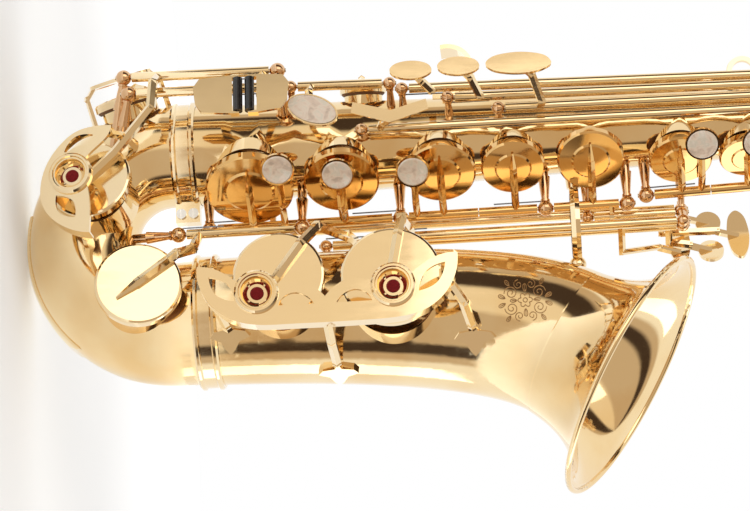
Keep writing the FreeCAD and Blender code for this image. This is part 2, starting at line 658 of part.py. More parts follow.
# ---------------------------------------------------------------- posts and rods
POSTS = [("stack", 6), ("stack", 99.5), ("stack", 170), ("stack", 209.6), ("upper", 219), ("upper", 356),
         ("csharp", -8), ("csharp", 52.3), ("c", -30.5), ("c", 44.6), ("eb", -28.1), ("eb", 45.7),
         ("csharp_lever", 36), ("b", 62), ("bb", 88), ("gsharp_lever", 190),
         ("csharp_lever", 236), ("b", 236), ("bb", 236), ("gsharp_lever", 236),
         ("side_fsharp", 50), ("side_fsharp", 98), ("side_bb", 104), ("side_bb", 313), ("side_c", 126),
         ("side_c", 338), ("high_e", 150), ("high_e", 391), ("high_fsharp", 84), ("high_fsharp", 420),
         ("palm_d", 308), ("palm_d", 362), ("palm_eb", 332), ("palm_eb", 390), ("palm_f", 356), ("palm_f", 412),
         ("pip", 330.5), ("pip", 395.7), ("thumb", 282), ("thumb", 328), ("front_f", 362), ("front_f", 388)]
BIG = ("stack", "upper", "csharp", "c", "eb")
# Posts whose stem leans, with the point on the body's axis plane that it leans towards.
LEAN = {("b", 62): V(84, 0, 62), ("bb", 88): V(54.1, -2.5, 88), ("b", 236): V(41.7, 6, 236), ("bb", 236): V(41.7, 6, 236),
        ("gsharp_lever", 236): V(0, 3, 236), ("csharp", -8): V(42.5, -5.0, -50), ("c", -30.5): V(9, -22.4, -38.6),
        ("eb", -28.1): V(10, -20.0, -37.0)}


def head_radius(line):
    return 3.8 if line in BIG else 3.1


def post(line, z):
    """A ball head on a tapered stem with a small round foot."""
    head = LINES[line].at(z)
    r = head_radius(line)
    base = LEAN.get((line, z), V(0, 0, z))
    way = unit(base - head)
    collar = cyl(head + way * (r * 0.86), head + way * (r * 0.86 + 1.1), r * 0.62)
    reach = (base - head).Length
    stem = cone(head + way * (r * 0.6), head + way * min(16, reach), r * 0.42, r * 0.8)
    if reach > 16:
        stem = stem.fuse(cyl(head + way * 15.9, base, r * 0.6))
    return [ball(head, r), collar, stem]


def feet_cut(shape):
    """Ends a piece flush on the skin of the body, the bow and the bell."""
    return shape.cut(SKIN)


def make_posts():
    pieces = []
    for line, z in POSTS:
        pieces += post(line, z)
    posts = feet_cut(fuse(pieces))
    bores = [cyl(l.at(z) - l.k * 12, l.at(z) + l.k * 12, TUBE_BORE) for l, z in ((LINES[n], z) for n, z in POSTS)]
    return posts.cut(bores[0].multiFuse(bores[1:]))


def make_rods():
    rods = []
    for name, line in LINES.items():
        ends = [z for n, z in POSTS if n == name]
        over = head_radius(name) + 0.3
        rods.append(cyl(line.at(min(ends)) - line.k * over, line.at(max(ends)) + line.k * over, ROD_R))
    return Part.makeCompound(rods)


# ---------------------------------------------------------------- guards, braces and fittings
def outline_wire(runs):
    """Closed wire of runs of points: a run of two is a straight side, a longer one a smooth curve."""
    edges = []
    for run in runs:
        pts = [V(x, y, 0) for x, y in run]
        if len(pts) == 2:
            edges.append(Part.makeLine(*pts))
            continue
        curve = Part.BSplineCurve()
        curve.interpolate(pts)
        edges.append(curve.toShape())
    return Part.Wire(edges)


def lens(x, y, a, b, turn):
    """Lens-shaped cut-out centred on x, y: half length a, half width b, turned by turn degrees."""
    t = math.radians(turn)
    flat = [(-a, 0), (-a * 0.6, b * 0.62), (0, b), (a * 0.6, b * 0.62), (a, 0)]
    upper = [(x + u * math.cos(t) - v * math.sin(t), y + u * math.sin(t) + v * math.cos(t)) for u, v in flat]
    lower = [(x + u * math.cos(t) + v * math.sin(t), y + u * math.sin(t) - v * math.cos(t)) for u, v in flat]
    return outline_wire([upper, lower[::-1]])


def sheet(wire, thick, cuts=(), low=0.0):
    solid = Part.Face(wire).extrude(V(0, 0, thick))
    solid.translate(V(0, 0, low))
    for cut in cuts:
        hole = Part.Face(cut).extrude(V(0, 0, 30))
        hole.translate(V(0, 0, -15))
        solid = solid.cut(hole)
    return solid


BUMPER_R = 7.4


def boss(x, y, r=10.4):
    ring = revolved([(0, 0), (r, 0), (r, 3.0), (r - 0.9, 4.0), (r - 1.9, 4.0), (r - 2.3, 3.2), (0, 3.2)])
    ring.translate(V(x, y, 0))
    return ring


def boss_bore(x, y):
    return cyl(V(x, y, -3), V(x, y, 9), BUMPER_R)


def bell_guard():
    """One guard over both bell keys: two bosses, four cut-outs and a deep rim along its front edge."""
    under = [(-59, -13.5), (-58.4, -5), (-55.6, 1.5), (-50.7, 7.6), (-43, 12.8), (-34, 15.4), (-17, 16.1), (0, 16.2),
             (17, 16.1), (34, 15.4), (46.3, 12.4), (56, 4.7), (61, -5), (62, -14)]
    over = [[(62, -14), (54, -13.2), (46, -9.5), (39, -4)], [(39, -4), (24, -3.5)],
            [(24, -3.5), (19, -3.2), (13, -4.4), (6, -1.8), (0, 3.7)], [(0, 3.7), (-6, -1.8), (-13, -4.4), (-19, -3.2),
            (-24, -3.5)], [(-24, -3.5), (-39, -4)], [(-39, -4), (-46, -9.5), (-53, -12.8), (-59, -13.5)]]
    arch = [(5.2, 7.0), (8.5, 3.2), (14.2, 1.2), (19.6, 3.4), (21.6, 7.0)]
    cuts = [lens(-47.8, -2.2, 8.4, 3.6, 46), lens(49.8, -3.0, 9.2, 3.7, -46),
            outline_wire([arch, [arch[-1], arch[0]]]),
            outline_wire([[(-x, y) for x, y in arch], [(-arch[-1][0], arch[-1][1]), (-arch[0][0], arch[0][1])]])]
    plate = sheet(outline_wire([under] + over), 2.0, cuts)
    inner = [(x * 0.972, y - 1.7) for x, y in under]
    rim = sheet(outline_wire([under, [under[-1], inner[-1]], inner[::-1], [inner[0], under[0]]]), 8.0, (), -7.0)
    body = fuse([plate, rim, boss(-31.6, 0), boss(31.6, 0)])
    return body.cut(boss_bore(-31.6, 0)).cut(boss_bore(31.6, 0))


GUARD_AT, GUARD_N = V(89.3, -68.6, 65.8), unit(V(-0.03, -1, 0.012))
C_GUARD_AT, C_GUARD_N = V(24.2, -59.6, -52.4), unit(V(-0.13, -0.98, -0.12))


def placed_down(shape, origin, normal):
    """Moves a flat piece so that its X runs up the instrument and its Y towards the bell."""
    return placed(mirrored(shape), origin, normal, Z)


def mirrored(shape):
    return shape.mirror(V(), Y)


def leg(points, up, w=4.2, h=3.2):
    return arm(points, up, w, h, 1.25)


def winged_foot(origin, normal, spin):
    """Ornamental foot: a small plate with two wings and a point."""
    half = [(0, 7.5), (1.6, 3.4), (7.4, 2.4), (9.6, -0.4), (4.4, -2.6), (2.2, -6.6), (0, -9.0)]
    outline = [(x, y, 1) for x, y in half] + [(-x, y, 1) for x, y in half[-2:0:-1]]
    foot = slab(outline, 4.0, V(), Z)
    foot.translate(V(0, 0, -2.2))
    return placed(foot, origin, normal, spin)


def make_bell_guard():
    plate = placed_down(bell_guard(), GUARD_AT, GUARD_N)
    legs = [leg([V(104.4, -64, 66), V(110.5, -48, 66.5), V(114.5, -25, 67), V(112, -12, 67)], X),
            leg([V(91.0, -65.0, 12.2), V(94, -54, 14.8), V(97, -40, 16.5), V(96, -24, 16.5)], X),
            leg([V(89.6, -65.0, 123.8), V(96, -55, 129), V(104, -42, 132), V(103, -26, 133)], X)]
    feet = [winged_foot(V(115.6, -14.5, 67), V(0.9, -0.42, 0), V(0, 0, 1)),
            winged_foot(V(98.9, -28.8, 17), V(0.44, -0.9, 0), V(0, 0, 1)),
            winged_foot(V(107.3, -32.5, 133), V(0.42, -0.9, 0), V(0, 0, 1))]
    return feet_cut(fuse([plate] + legs + feet))


def make_c_guard():
    outer = [(19.8, -23), (10, -23.4), (2.0, -21.4), (-5, -16.0), (-10.2, -9.3), (-14.5, 2.9), (-13.5, 15.2), (-5.6, 25),
             (9.1, 30.9)]
    inner = [[(9.1, 30.9), (9.4, 20), (9.0, 12.7), (8.0, 6.4)], [(8.0, 6.4), (7.0, -7.0)],
             [(7.0, -7.0), (13.5, -13.5), (18.9, -19.6), (19.8, -23)]]
    cuts = [lens(3.8, -15.4, 8.0, 3.9, -28), lens(-2.4, 16.4, 7.6, 4.2, 52)]
    plate = sheet(outline_wire([outer] + inner), 2.0, cuts)
    edge = [(x * 0.94 + 0.5, y * 0.965) for x, y in outer]
    rim = sheet(outline_wire([outer, [outer[-1], edge[-1]], edge[::-1], [edge[0], outer[0]]]), 7.0, (), -6.0)
    body = fuse([plate, rim, boss(0, 0)]).cut(boss_bore(0, 0))
    body = placed_down(body, C_GUARD_AT, C_GUARD_N)
    legs = [leg([V(4.1, -57.2, -34.9), V(1.5, -44, -29), V(0.5, -20, -27)], X),
            leg([V(52.6, -60.0, -48.9), V(51.5, -46, -48), V(50.0, -20, -50)], X)]
    return feet_cut(fuse([body] + legs))


def make_eb_guard():
    """Guard over the low E flat key: a plate on two legs with one oval cut-out."""
    n = HOLES["low_eb"].normal
    centre = HOLES["low_eb"].seat + n * 13.5
    shape = [(-14.5, -5), (-8, -8.0), (0, -9.0), (8, -8.0), (14.5, -5)]
    back = [(14.5, -5), (15.8, 0), (14.5, 5), (8, 8.0), (0, 9.0), (-8, 8.0), (-14.5, 5), (-15.8, 0), (-14.5, -5)]
    plate = sheet(outline_wire([shape, back]), 1.8, [lens(-7.5, 0, 6.6, 3.4, 0), lens(7.8, 0, 6.0, 3.2, 0)])
    across = unit(n.cross(Y))
    plate = placed(plate, centre, n, across)
    legs = []
    for way in (-1, 1):
        top = centre + across * (way * 14.0) + n * 0.8
        knee = centre + across * (way * 18.6) - n * 3.5
        legs.append(leg([top, knee, knee - n * 22], across, 5.0, 2.4))
    return feet_cut(fuse([plate] + legs))


def bumper_places():
    """Centre and outward normal of each adjustable bumper."""
    up = unit(Z - GUARD_N * Z.dot(GUARD_N))
    return [(GUARD_AT - up * 31.6, GUARD_N), (GUARD_AT + up * 31.6, GUARD_N), (C_GUARD_AT, C_GUARD_N)]


def make_bumper_cups():
    r = BUMPER_R - 0.05
    body = revolved([(3.25, -5.0), (r - 1.2, -5.0), (r, -4.0), (r, 1.2), (r - 0.9, 2.0), (4.6, -0.6), (3.25, -0.6)])
    for i in range(4):
        slot = Part.makeBox(8, 1.0, 1.6, V(3.6, -0.5, -0.4))
        slot.rotate(V(), Z, 45 + 90 * i)
        body = body.cut(slot)
    return Part.makeCompound([placed(body, p, n) for p, n in bumper_places()])


def make_bumper_felts():
    felt = revolved([(0, -6.8), (3.2, -6.8), (3.2, -0.6), (2.6, 0.1), (0, 0.3)])
    return Part.makeCompound([placed(felt, p, n) for p, n in bumper_places()])


def band(z0, z1, grow, centre=V(), r_at=body_radius, gap=0.03):
    """Ridged clamp band round a tube."""
    mid = (z0 + z1) / 2
    r = r_at(mid)
    h = (z1 - z0) / 2
    profile = [(r + gap, -h), (r + grow, -h), (r + grow + 0.9, -h + 1.0), (r + grow + 0.9, -h + 2.2),
               (r + grow, -h + 3.0), (r + grow, h - 3.0), (r + grow + 0.9, h - 2.2), (r + grow + 0.9, h - 1.0),
               (r + grow, h), (r + gap, h)]
    ring = revolved(profile)
    ring.translate(centre + V(0, 0, mid))
    return ring


def make_body_ferrule():
    ring = band(-10.0, 1.8, 1.0)
    lug = Part.makeBox(10.5, 7.0, 11.8, V(BODY_R0 + 0.3, -6.0, -10.0))
    return seated(ring.fuse(lug))


def seated(shape):
    return shape.cut(SKIN)


def make_bell_ferrule():
    return seated(band(-1.0, 10.5, 1.3, V(BELL_X, 0, 0), lambda z: BELL_R0 + 0.2))


def make_clamp_screws():
    """The two slotted screws of the body clamp, which stand in its lug."""
    screws = []
    for z in (-7.2, -1.2):
        at = V(BODY_R0 + 6.5, -6.0, z)
        headed = cyl(at, at - Y * 1.4, 2.5).cut(Part.makeBox(6, 0.8, 0.7, at + V(-3, -1.4, -0.35)))
        screws.append(headed)
    return Part.makeCompound(screws)


def make_brace():
    """Ring brace between the body and the bell, with a foot on each."""
    centre = V(45.4, 5.5, 184.0)
    ring = revolved([(15.6, -2.2), (18.6, -2.2), (19.2, 0), (18.6, 2.2), (15.6, 2.2)])
    ring.translate(centre)
    body_foot = cone(V(27.0, 4.0, 184), V(14, 3.0, 184), 3.2, 4.6)
    bell_foot = cone(V(63.8, 5.5, 184), V(80, 5.5, 184), 3.0, 5.4)
    knob = ball(V(65.0, 5.5, 184), 4.2)
    return feet_cut(fuse([ring, body_foot, bell_foot, knob]))


def make_strap_ring():
    """Ring for the neck strap on a plate at the back of the body; its hole runs across the instrument."""
    ring = revolved([(RING_BORE, -RING_HALF), (RING_BORE + 2.2, -RING_HALF), (RING_BORE + 2.7, 0),
                     (RING_BORE + 2.2, RING_HALF), (RING_BORE, RING_HALF)])
    ring = placed(ring, RING_CENTRE, Y)
    x = RING_CENTRE.x + RING_BORE + 1.4
    stem_part = Part.makeBox(14, 2 * RING_HALF, 9.0, V(x, -RING_HALF, RING_Z - 4.5))
    plate = Part.makeBox(9, 9.0, 24.0, V(-body_radius(RING_Z) - 1.2, -4.5, RING_Z - 12))
    return feet_cut(fuse([ring, stem_part, plate]))


def make_thumb_hook():
    """Hook for the right thumb: a curled strip on a base plate at the back of the body."""
    z = 128.0
    r = body_radius(z)
    base = Part.makeBox(10, 14.0, 20.0, V(-r - 1.6, -7.0, z - 10))
    outer = Part.makeCylinder(13.0, 15.0, V(-r - 13.5, -7.5, z - 2), Y)
    inner = Part.makeCylinder(10.8, 17.0, V(-r - 13.5, -8.5, z - 2), Y)
    half = Part.makeBox(40, 20, 30, V(-r - 35.0, -10, z - 5))
    hook = outer.cut(inner).common(half)
    screw = cyl(V(-r - 1, 0, z - 7), V(-r - 3.4, 0, z - 7), 2.6)
    return feet_cut(fuse([base, hook, screw]))


def make_thumb_rest():
    z = 290.0
    r = body_radius(z)
    disc = revolved([(0, -8), (6.0, -8), (6.6, 1.8), (8.0, 2.6), (8.0, 3.6), (6.4, 4.6), (0, 5.2)])
    return feet_cut(placed(disc, around(z, -165, r), around(0, -165, 1)))


NECK_Z = 428.0
TENON_R = 12.0
RECEIVER_TOP = 452.0


def make_receiver():
    """Socket for the neck at the top of the body, split at the back and closed by its screw."""
    r = body_radius(NECK_Z)
    cup = revolved([(r + 0.02, NECK_Z), (r + 1.6, NECK_Z), (r + 2.4, NECK_Z + 2), (r + 1.6, NECK_Z + 4),
                    (r + 1.6, RECEIVER_TOP - 4), (r + 2.6, RECEIVER_TOP - 2.5), (r + 2.6, RECEIVER_TOP),
                    (TENON_R + 0.05, RECEIVER_TOP), (TENON_R + 0.05, BODY_LEN + 0.02), (r + 0.02, BODY_LEN + 0.02)])
    ears = Part.makeBox(8.0, 9.0, 9.0, V(-r - 9.0, -4.5, RECEIVER_TOP - 11.0))
    ears = ears.cut(Part.makeCylinder(r + 1.0, 40, V(0, 0, RECEIVER_TOP - 20)))
    split = Part.makeBox(14.0, 1.0, 14.0, V(-r - 10.0, -0.5, RECEIVER_TOP - 12.0))
    hole = Part.makeCylinder(1.7, 12, V(-r - 5.8, -6, RECEIVER_TOP - 6.5), Y)
    return seated(cup.fuse(ears).cut(split).cut(hole))


def make_neck_screw():
    """Thumb screw through the two ears of the neck socket."""
    x = -body_radius(NECK_Z) - 5.8
    z = RECEIVER_TOP - 6.5
    shaft = cyl(V(x, -5.2, z), V(x, 6.0, z), 1.6)
    head = revolved([(0, 0), (2.6, 0), (3.2, 1.5), (3.2, 4.5), (0, 4.5)])
    wing = Part.makeBox(2.2, 8.5, 1.0 + 0.6, V(-1.1, 0, -0.8))
    wing = slab(oval(6.0, 4.0), 2.0, V(0, 0, 0), Z)
    wing = placed(wing, V(x - 1.0, 13.5, z), X, Y)
    return fuse([shaft, placed(head, V(x, 6.0, z), Y), wing])


NECK_PATH = [V(0, 0, 446), V(0, 0, 512), V(-52, 0, 556), V(-128, 0, 545)]
NECK_R0, NECK_R1 = 11.2, 6.5
CORK_LEN = 26.0


def neck_axis(t):
    p, s = NECK_PATH, 1 - t
    here = p[0] * s**3 + p[1] * (3 * s * s * t) + p[2] * (3 * s * t * t) + p[3] * t**3
    way = (p[1] - p[0]) * (3 * s * s) + (p[2] - p[1]) * (6 * s * t) + (p[3] - p[2]) * (3 * t * t)
    return here, unit(way), NECK_R0 + (NECK_R1 - NECK_R0) * t


def neck_loft(grow):
    wires = []
    for i in range(11):
        p, n, r = neck_axis(i / 10)
        wires.append(ring_at(p, n, r + grow))
    return Part.makeLoft(wires, True, False)


def cork_start():
    p, n, r = neck_axis(1)
    return p, n


def make_neck():
    """Curved neck with its tenon, collar, cork tube, octave pip and the posts of its octave key."""
    end, way = cork_start()
    tail = cyl(end - way * 0.01, end + way * (CORK_LEN + 4), NECK_R1)
    tenon = Part.makeCylinder(TENON_R, 26, V(0, 0, 424))
    collar = revolved([(0, RECEIVER_TOP + 0.3), (14.6, RECEIVER_TOP + 0.3), (15.4, RECEIVER_TOP + 1.6),
                       (14.6, RECEIVER_TOP + 3.0), (12.4, RECEIVER_TOP + 6.0), (0, RECEIVER_TOP + 6.0)])
    outer = fuse([neck_loft(0), tenon.common(Part.makeCylinder(TENON_R, 40, V(0, 0, BODY_LEN + 0.3))), collar, tail])
    lip = placed(revolved([(0, 0), (NECK_R1 + 1.3, 0), (NECK_R1 + 1.6, 1.2), (NECK_R1 + 1.3, 2.4), (0, 2.4)]),
                 end - way * 0.5, way)
    p, n, r = neck_axis(NECK_PIP_T)
    up = unit(n.cross(Y) * -1) if n.cross(Y).z < 0 else unit(n.cross(Y))
    pip = cyl(p, p + up * (r + 3.0), 2.6)
    bow_plate = []
    inner = neck_loft(-0.9).fuse(cyl(end - way * 0.01, end + way * (CORK_LEN + 6), NECK_R1 - 0.9))
    inner = inner.fuse(Part.makeCylinder(TENON_R - 0.9, 30, V(0, 0, BODY_LEN - 5)).cut(
        Part.makeCylinder(40, 40, V(0, 0, 449))))
    tube = fuse([outer, lip, pip] + bow_plate + neck_posts())
    return tube.cut(inner).cut(cyl(p, p + up * (r + 5), 1.1)).cut(neck_hinge(TUBE_BORE, 9.0))


NECK_PIP_T = 0.80
NECK_HINGE_T = 0.47


def neck_frame(t, side=0.0, rise=0.0):
    p, n, r = neck_axis(t)
    up = n.cross(Y)
    up = up if up.z > 0 else up * -1
    return p + Y * side + unit(up) * (r + rise)


def neck_hinge(r, half):
    c = neck_frame(NECK_HINGE_T, 0, 6.0)
    return cyl(c - Y * half, c + Y * half, r)


def neck_posts():
    pieces = []
    p = neck_axis(NECK_HINGE_T)[0]
    for side in (-6.4, 6.4):
        head = neck_frame(NECK_HINGE_T, side, 6.0)
        pieces.append(ball(head, 2.4))
        pieces.append(cone(head, p + Y * (side * 0.6), 1.4, 2.2))
    return pieces


def make_neck_rod():
    return neck_hinge(ROD_R, 9.0)


def make_neck_key():
    """Octave key of the neck: a ring round the collar, a long strip over the bend and a padded end over the pip."""
    c = neck_frame(NECK_HINGE_T, 0, 6.0)
    tube = cyl(c - Y * 3.6, c + Y * 3.6, 2.2)
    p, n, r = neck_axis(NECK_PIP_T)
    up = unit(neck_frame(NECK_PIP_T) - p)
    seat = p + up * (r + 3.0)
    cup = placed(cup_shell(4.0), seat, up)
    front = [c, neck_frame(0.6, 0, 7.5), neck_frame(0.72, 0, 9.0), seat + up * 6.8]
    strip = arm(front, V(-0.3, 0, 1), 5.0, 2.6, 0.8)
    back = arm([c, neck_frame(0.34, 0, 7.0), neck_frame(0.2, 0, 6.5), V(16.6, 0, 470), V(17.4, 0, 462)], V(1, 0, 0.4),
               5.0, 2.6, 1.0)
    hoop = revolved([(16.6, -1.2), (18.8, -1.2), (18.8, 1.2), (16.6, 1.2)])
    hoop.translate(V(0, 0, 461.5))
    metal = fuse([tube, cup, strip, back, hoop]).cut(neck_hinge(TUBE_BORE, 12.0))
    return Part.makeCompound(metal.Solids + [placed(pad(4.0), seat, up)])


CORK_R = 8.0


def make_cork():
    end, way = cork_start()
    a, b = end + way * 2.2, end + way * (CORK_LEN + 2)
    return cyl(a, b, CORK_R).cut(cyl(a - way, b + way, NECK_R1 + 0.02))


MOUTH_LEN = 86.0


def mouth_frame(shape):
    """Moves a piece built along +X, with +Z up, onto the end of the neck."""
    end, way = cork_start()
    up = unit(Z - way * way.z)
    side = up.cross(way)
    at = end + way * 14.0
    m = FreeCAD.Matrix(way.x, side.x, up.x, at.x, way.y, side.y, up.y, at.y, way.z, side.z, up.z, at.z, 0, 0, 0, 1)
    out = shape.copy()
    out.Placement = FreeCAD.Placement(m).multiply(out.Placement)
    return out


def along_x(points):
    wire = Part.makePolygon([V(x, 0, r) for r, x in points + points[:1]])
    return Part.Face(wire).revolve(V(), X, 360)


def make_mouthpiece():
    """Mouthpiece with a shank, a sloping beak, a flat table under it and an open window for the reed."""
    r = CORK_R + 0.05
    blank = along_x([(r, 0), (r + 3.2, 0), (r + 3.6, 1.5), (r + 3.4, 14), (r + 3.0, 16), (12.0, 26), (12.4, 40),
                     (12.6, 50), (10.5, MOUTH_LEN), (0, MOUTH_LEN), (0, 17.0), (r, 17.0)])
    bore = cyl(V(16.5, 0, 0), V(56, 0, 0), 6.2)
    beak = Part.Face(Part.makePolygon([V(47, -20, 13.5), V(90, -20, -7.2), V(90, -20, 20), V(47, -20, 20),
                                       V(47, -20, 13.5)])).extrude(V(0, 40, 0))
    table = Part.makeBox(60, 40, 10, V(34, -20, -18.6))
    window = Part.makeBox(31, 11.0, 12, V(52, -5.5, -9.5))
    window = window.cut(Part.Face(Part.makePolygon([V(45, -20, 11.2), V(92, -20, -10.9), V(92, -20, 20),
                                                    V(45, -20, 20), V(45, -20, 11.2)])).extrude(V(0, 40, 0)))
    return mouth_frame(blank.cut(bore).cut(beak).cut(table).cut(window))


def make_reed():
    flat = Part.Face(Part.makePolygon([V(36, -7.4, -8.65), V(84.5, -7.4, -8.65), V(84.5, -7.4, -8.9),
                                       V(62, -7.4, -11.3), V(36, -7.4, -11.3), V(36, -7.4, -8.65)]))
    reed = flat.extrude(V(0, 14.8, 0)).common(Part.makeCylinder(11.75, 60, V(30, 0, 0), X))
    return mouth_frame(reed)


def make_ligature():
    """Brass band round mouthpiece and reed, with two screws below."""
    outer = Part.makeCylinder(13.7, 22, V(38.5, 0, 0), X)
    inner = Part.makeCylinder(12.85, 30, V(34, 0, 0), X)
    flank = Part.makeBox(22, 15.5, 3.0, V(38.5, -7.75, -14.2))
    core = Part.makeBox(30, 15.3, 3.0, V(34, -7.65, -11.4 - 3.0 + 2.9))
    bandage = outer.fuse(flank).cut(inner)
    parts = [bandage]
    for x in (43.5, 55.5):
        parts.append(cyl(V(x, 0, -13.4), V(x, 0, -16.4), 3.2))
        parts.append(cyl(V(x, 0, -16.0), V(x, 0, -24.0), 1.5))
        parts.append(cyl(V(x, 0, -20.0), V(x, 0, -27.0), 3.6))
    return mouth_frame(fuse(parts))


def make_bow_guard():
    """Thin shield on the outside of the bow, where the instrument is set down."""
    skin = bow_loft(1.0).cut(bow_loft(0.01))
    outline = [(24, -53), (34, -58, ), (52, -58), (74, -50), (96, -34), (104, -22), (96, -60), (80, -84), (50, -96),
               (30, -92)]
    wire = Part.makePolygon([V(p[0], -9, p[1]) for p in outline + outline[:1]])
    block = Part.Face(wire).extrude(V(0, 18, 0))
    return skin.common(block)


def make_springs():
    """Needle springs: a straight steel wire from each long key's lower post along its tube."""
    wires = []
    for name, z0, z1 in (("stack", 99.5, 76), ("stack", 170, 145), ("stack", 6, 34), ("upper", 219, 243),
                         ("upper", 356, 334), ("c", 44.6, 20), ("eb", 45.7, 20), ("side_bb", 104, 124),
                         ("side_c", 126, 146), ("high_e", 150, 170), ("csharp", -8, 14), ("b", 62, 88),
                         ("bb", 88, 112)):
        line = LINES[name]
        p, q = line.at(z0), line.at(z1)
        inward = unit(V(0, 0, p.z) - p)
        r = head_radius(name) * 0.5
        wires.append(cyl(p + inward * (TUBE_R + 1.3), q + inward * (TUBE_R + 1.3), 0.35))
    return Part.makeCompound(wires)


# ---------------------------------------------------------------- the whole instrument
def make_skin():
    tube = cone(V(), V(0, 0, BODY_LEN), BODY_R0, BODY_R1)
    return fuse([tube, bow_loft(0), stem(0, 0), flare(0)])


FIXED = {
    "body_tube": make_body_tube,
    "bell": make_bell,
    "bow": lambda: with_chimneys(bow_loft(0), bow_loft(-WALL), ["low_eb", "low_c", "low_csharp"]),
    "bow_guard": make_bow_guard,
    "body_ferrule": make_body_ferrule,
    "bell_ferrule": make_bell_ferrule,
    "clamp_screws": make_clamp_screws,
    "bell_brace": make_brace,
    "posts": make_posts,
    "hinge_rods": make_rods,
    "needle_springs": make_springs,
    "bell_key_guard": make_bell_guard,
    "low_c_guard": make_c_guard,
    "low_eb_guard": make_eb_guard,
    "bumper_cups": make_bumper_cups,
    "bumper_felts": make_bumper_felts,
    "strap_ring": make_strap_ring,
    "thumb_hook": make_thumb_hook,
    "thumb_rest": make_thumb_rest,
    "neck_receiver": make_receiver,
    "neck_screw": make_neck_screw,
    "neck": make_neck,
    "neck_cork": make_cork,
    "neck_hinge_rod": make_neck_rod,
    "neck_octave_key": make_neck_key,
    "mouthpiece": make_mouthpiece,
    "ligature": make_ligature,
    "reed": make_reed,
}


def roller(key):
    """Hard rubber roller on the pin between the two lugs of its key's touch."""
    centre = key.closed(on_pinky(0, ROLLERS[key.name[4:-4] + "_roller"], PIN_OUT))
    across = key.closed(on_pinky(1, ROLLERS[key.name[4:-4] + "_roller"], PIN_OUT)) - centre
    a, b = centre - across * ROLLER_HALF, centre + across * ROLLER_HALF
    drum = cyl(a, b, ROLLER_R).cut(cyl(a - across, b + across, ROLLER_BORE))
    drum.rotate(key.line.a, key.line.k, key.sense * key.rest)
    return drum


def all_keys():
    return stack_keys() + bell_keys() + low_keys() + side_keys() + palm_keys() + octave_keys()


def export(name, shape):
    moved = shape.copy()
    moved.translate(RING_CENTRE * -1)
    moved.exportStep("parts/" + name + ".step")


SKIN = make_skin()

if __name__ == "__main__":
    os.makedirs("parts", exist_ok=True)
    for part_name, maker in FIXED.items():
        export(part_name, maker())
    for one in all_keys():
        export(one.name, one.solid())
        if one.name in ("low_c_key", "low_eb_key"):
            export(one.name[4:-4] + "_roller", roller(one))
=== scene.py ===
"""Looks of an alto saxophone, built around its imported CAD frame.

Units are metres in the frame's own axes: +Z up the body, +X towards the bell, -Y towards the viewer.
"""

import math

import bmesh
import bpy
import numpy as np
from mathutils import Matrix, Vector
from mathutils.bvhtree import BVHTree


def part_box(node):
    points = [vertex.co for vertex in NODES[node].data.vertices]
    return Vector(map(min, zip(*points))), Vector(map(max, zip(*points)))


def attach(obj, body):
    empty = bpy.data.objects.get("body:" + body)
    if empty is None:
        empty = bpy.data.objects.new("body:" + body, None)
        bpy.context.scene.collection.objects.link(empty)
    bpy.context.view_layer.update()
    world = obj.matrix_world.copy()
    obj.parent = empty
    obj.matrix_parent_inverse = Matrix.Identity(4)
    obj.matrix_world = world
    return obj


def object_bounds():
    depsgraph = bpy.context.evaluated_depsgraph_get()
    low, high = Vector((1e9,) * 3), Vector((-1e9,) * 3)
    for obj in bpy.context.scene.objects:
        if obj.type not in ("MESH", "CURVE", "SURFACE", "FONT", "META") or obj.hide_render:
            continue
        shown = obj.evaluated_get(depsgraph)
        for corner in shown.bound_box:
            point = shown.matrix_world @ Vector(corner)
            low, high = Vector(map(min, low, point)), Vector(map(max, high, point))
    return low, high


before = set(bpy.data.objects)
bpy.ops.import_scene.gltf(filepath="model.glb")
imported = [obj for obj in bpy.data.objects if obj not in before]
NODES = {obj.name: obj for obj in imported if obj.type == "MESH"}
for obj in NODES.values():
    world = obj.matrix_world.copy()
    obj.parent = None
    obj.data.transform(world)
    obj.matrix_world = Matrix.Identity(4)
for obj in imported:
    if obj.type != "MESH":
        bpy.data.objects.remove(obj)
CAD_LOW, CAD_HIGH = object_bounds()

# Viewpoint: the horn is seen from its key side, 15 degrees round towards the bell. The camera is rolled,
# so the body, which stands upright in the frame, runs across the picture.
CAMERA_AT = Vector((0.4711, -1.4338, -0.1066))
AIM_AT = Vector((0.0787, 0.0140, -0.1848))
CAMERA_TURN = math.radians(15.0)
CAMERA_ROLL = math.radians(3.4)
LENS = 146.9
SENSOR = 36.0
CLIP_NEAR, CLIP_FAR = 0.05, 50.0

FLOOR_R = 0.7
FLOOR_X = 0.05
FLOOR_GAP = 0.0005
FLOOR_SHADE, FLOOR_PALE = (0.86, 0.89, 0.93, 1.0), (0.89, 0.92, 0.96, 1.0)
# The floor's painted glow: its emission rises from GLOW_NEAR within GLOW_FROM of the centre to GLOW_EDGE
# at the rim.
GLOW_FROM = 0.25
GLOW_NEAR, GLOW_EDGE = 0.24, 0.6

# Each soft light: its place, what it points at, its width and height, and its power in watts.
LIT_FROM = {
    "key_light": ((-0.62, -1.7, 0.55), (0.03, 0.0, -0.1), 1.0, 1.6, 5.2),
    "fill_light": ((1.5, 0.65, 0.2), (0.05, 0.0, -0.1), 0.7, 1.6, 4.5),
}

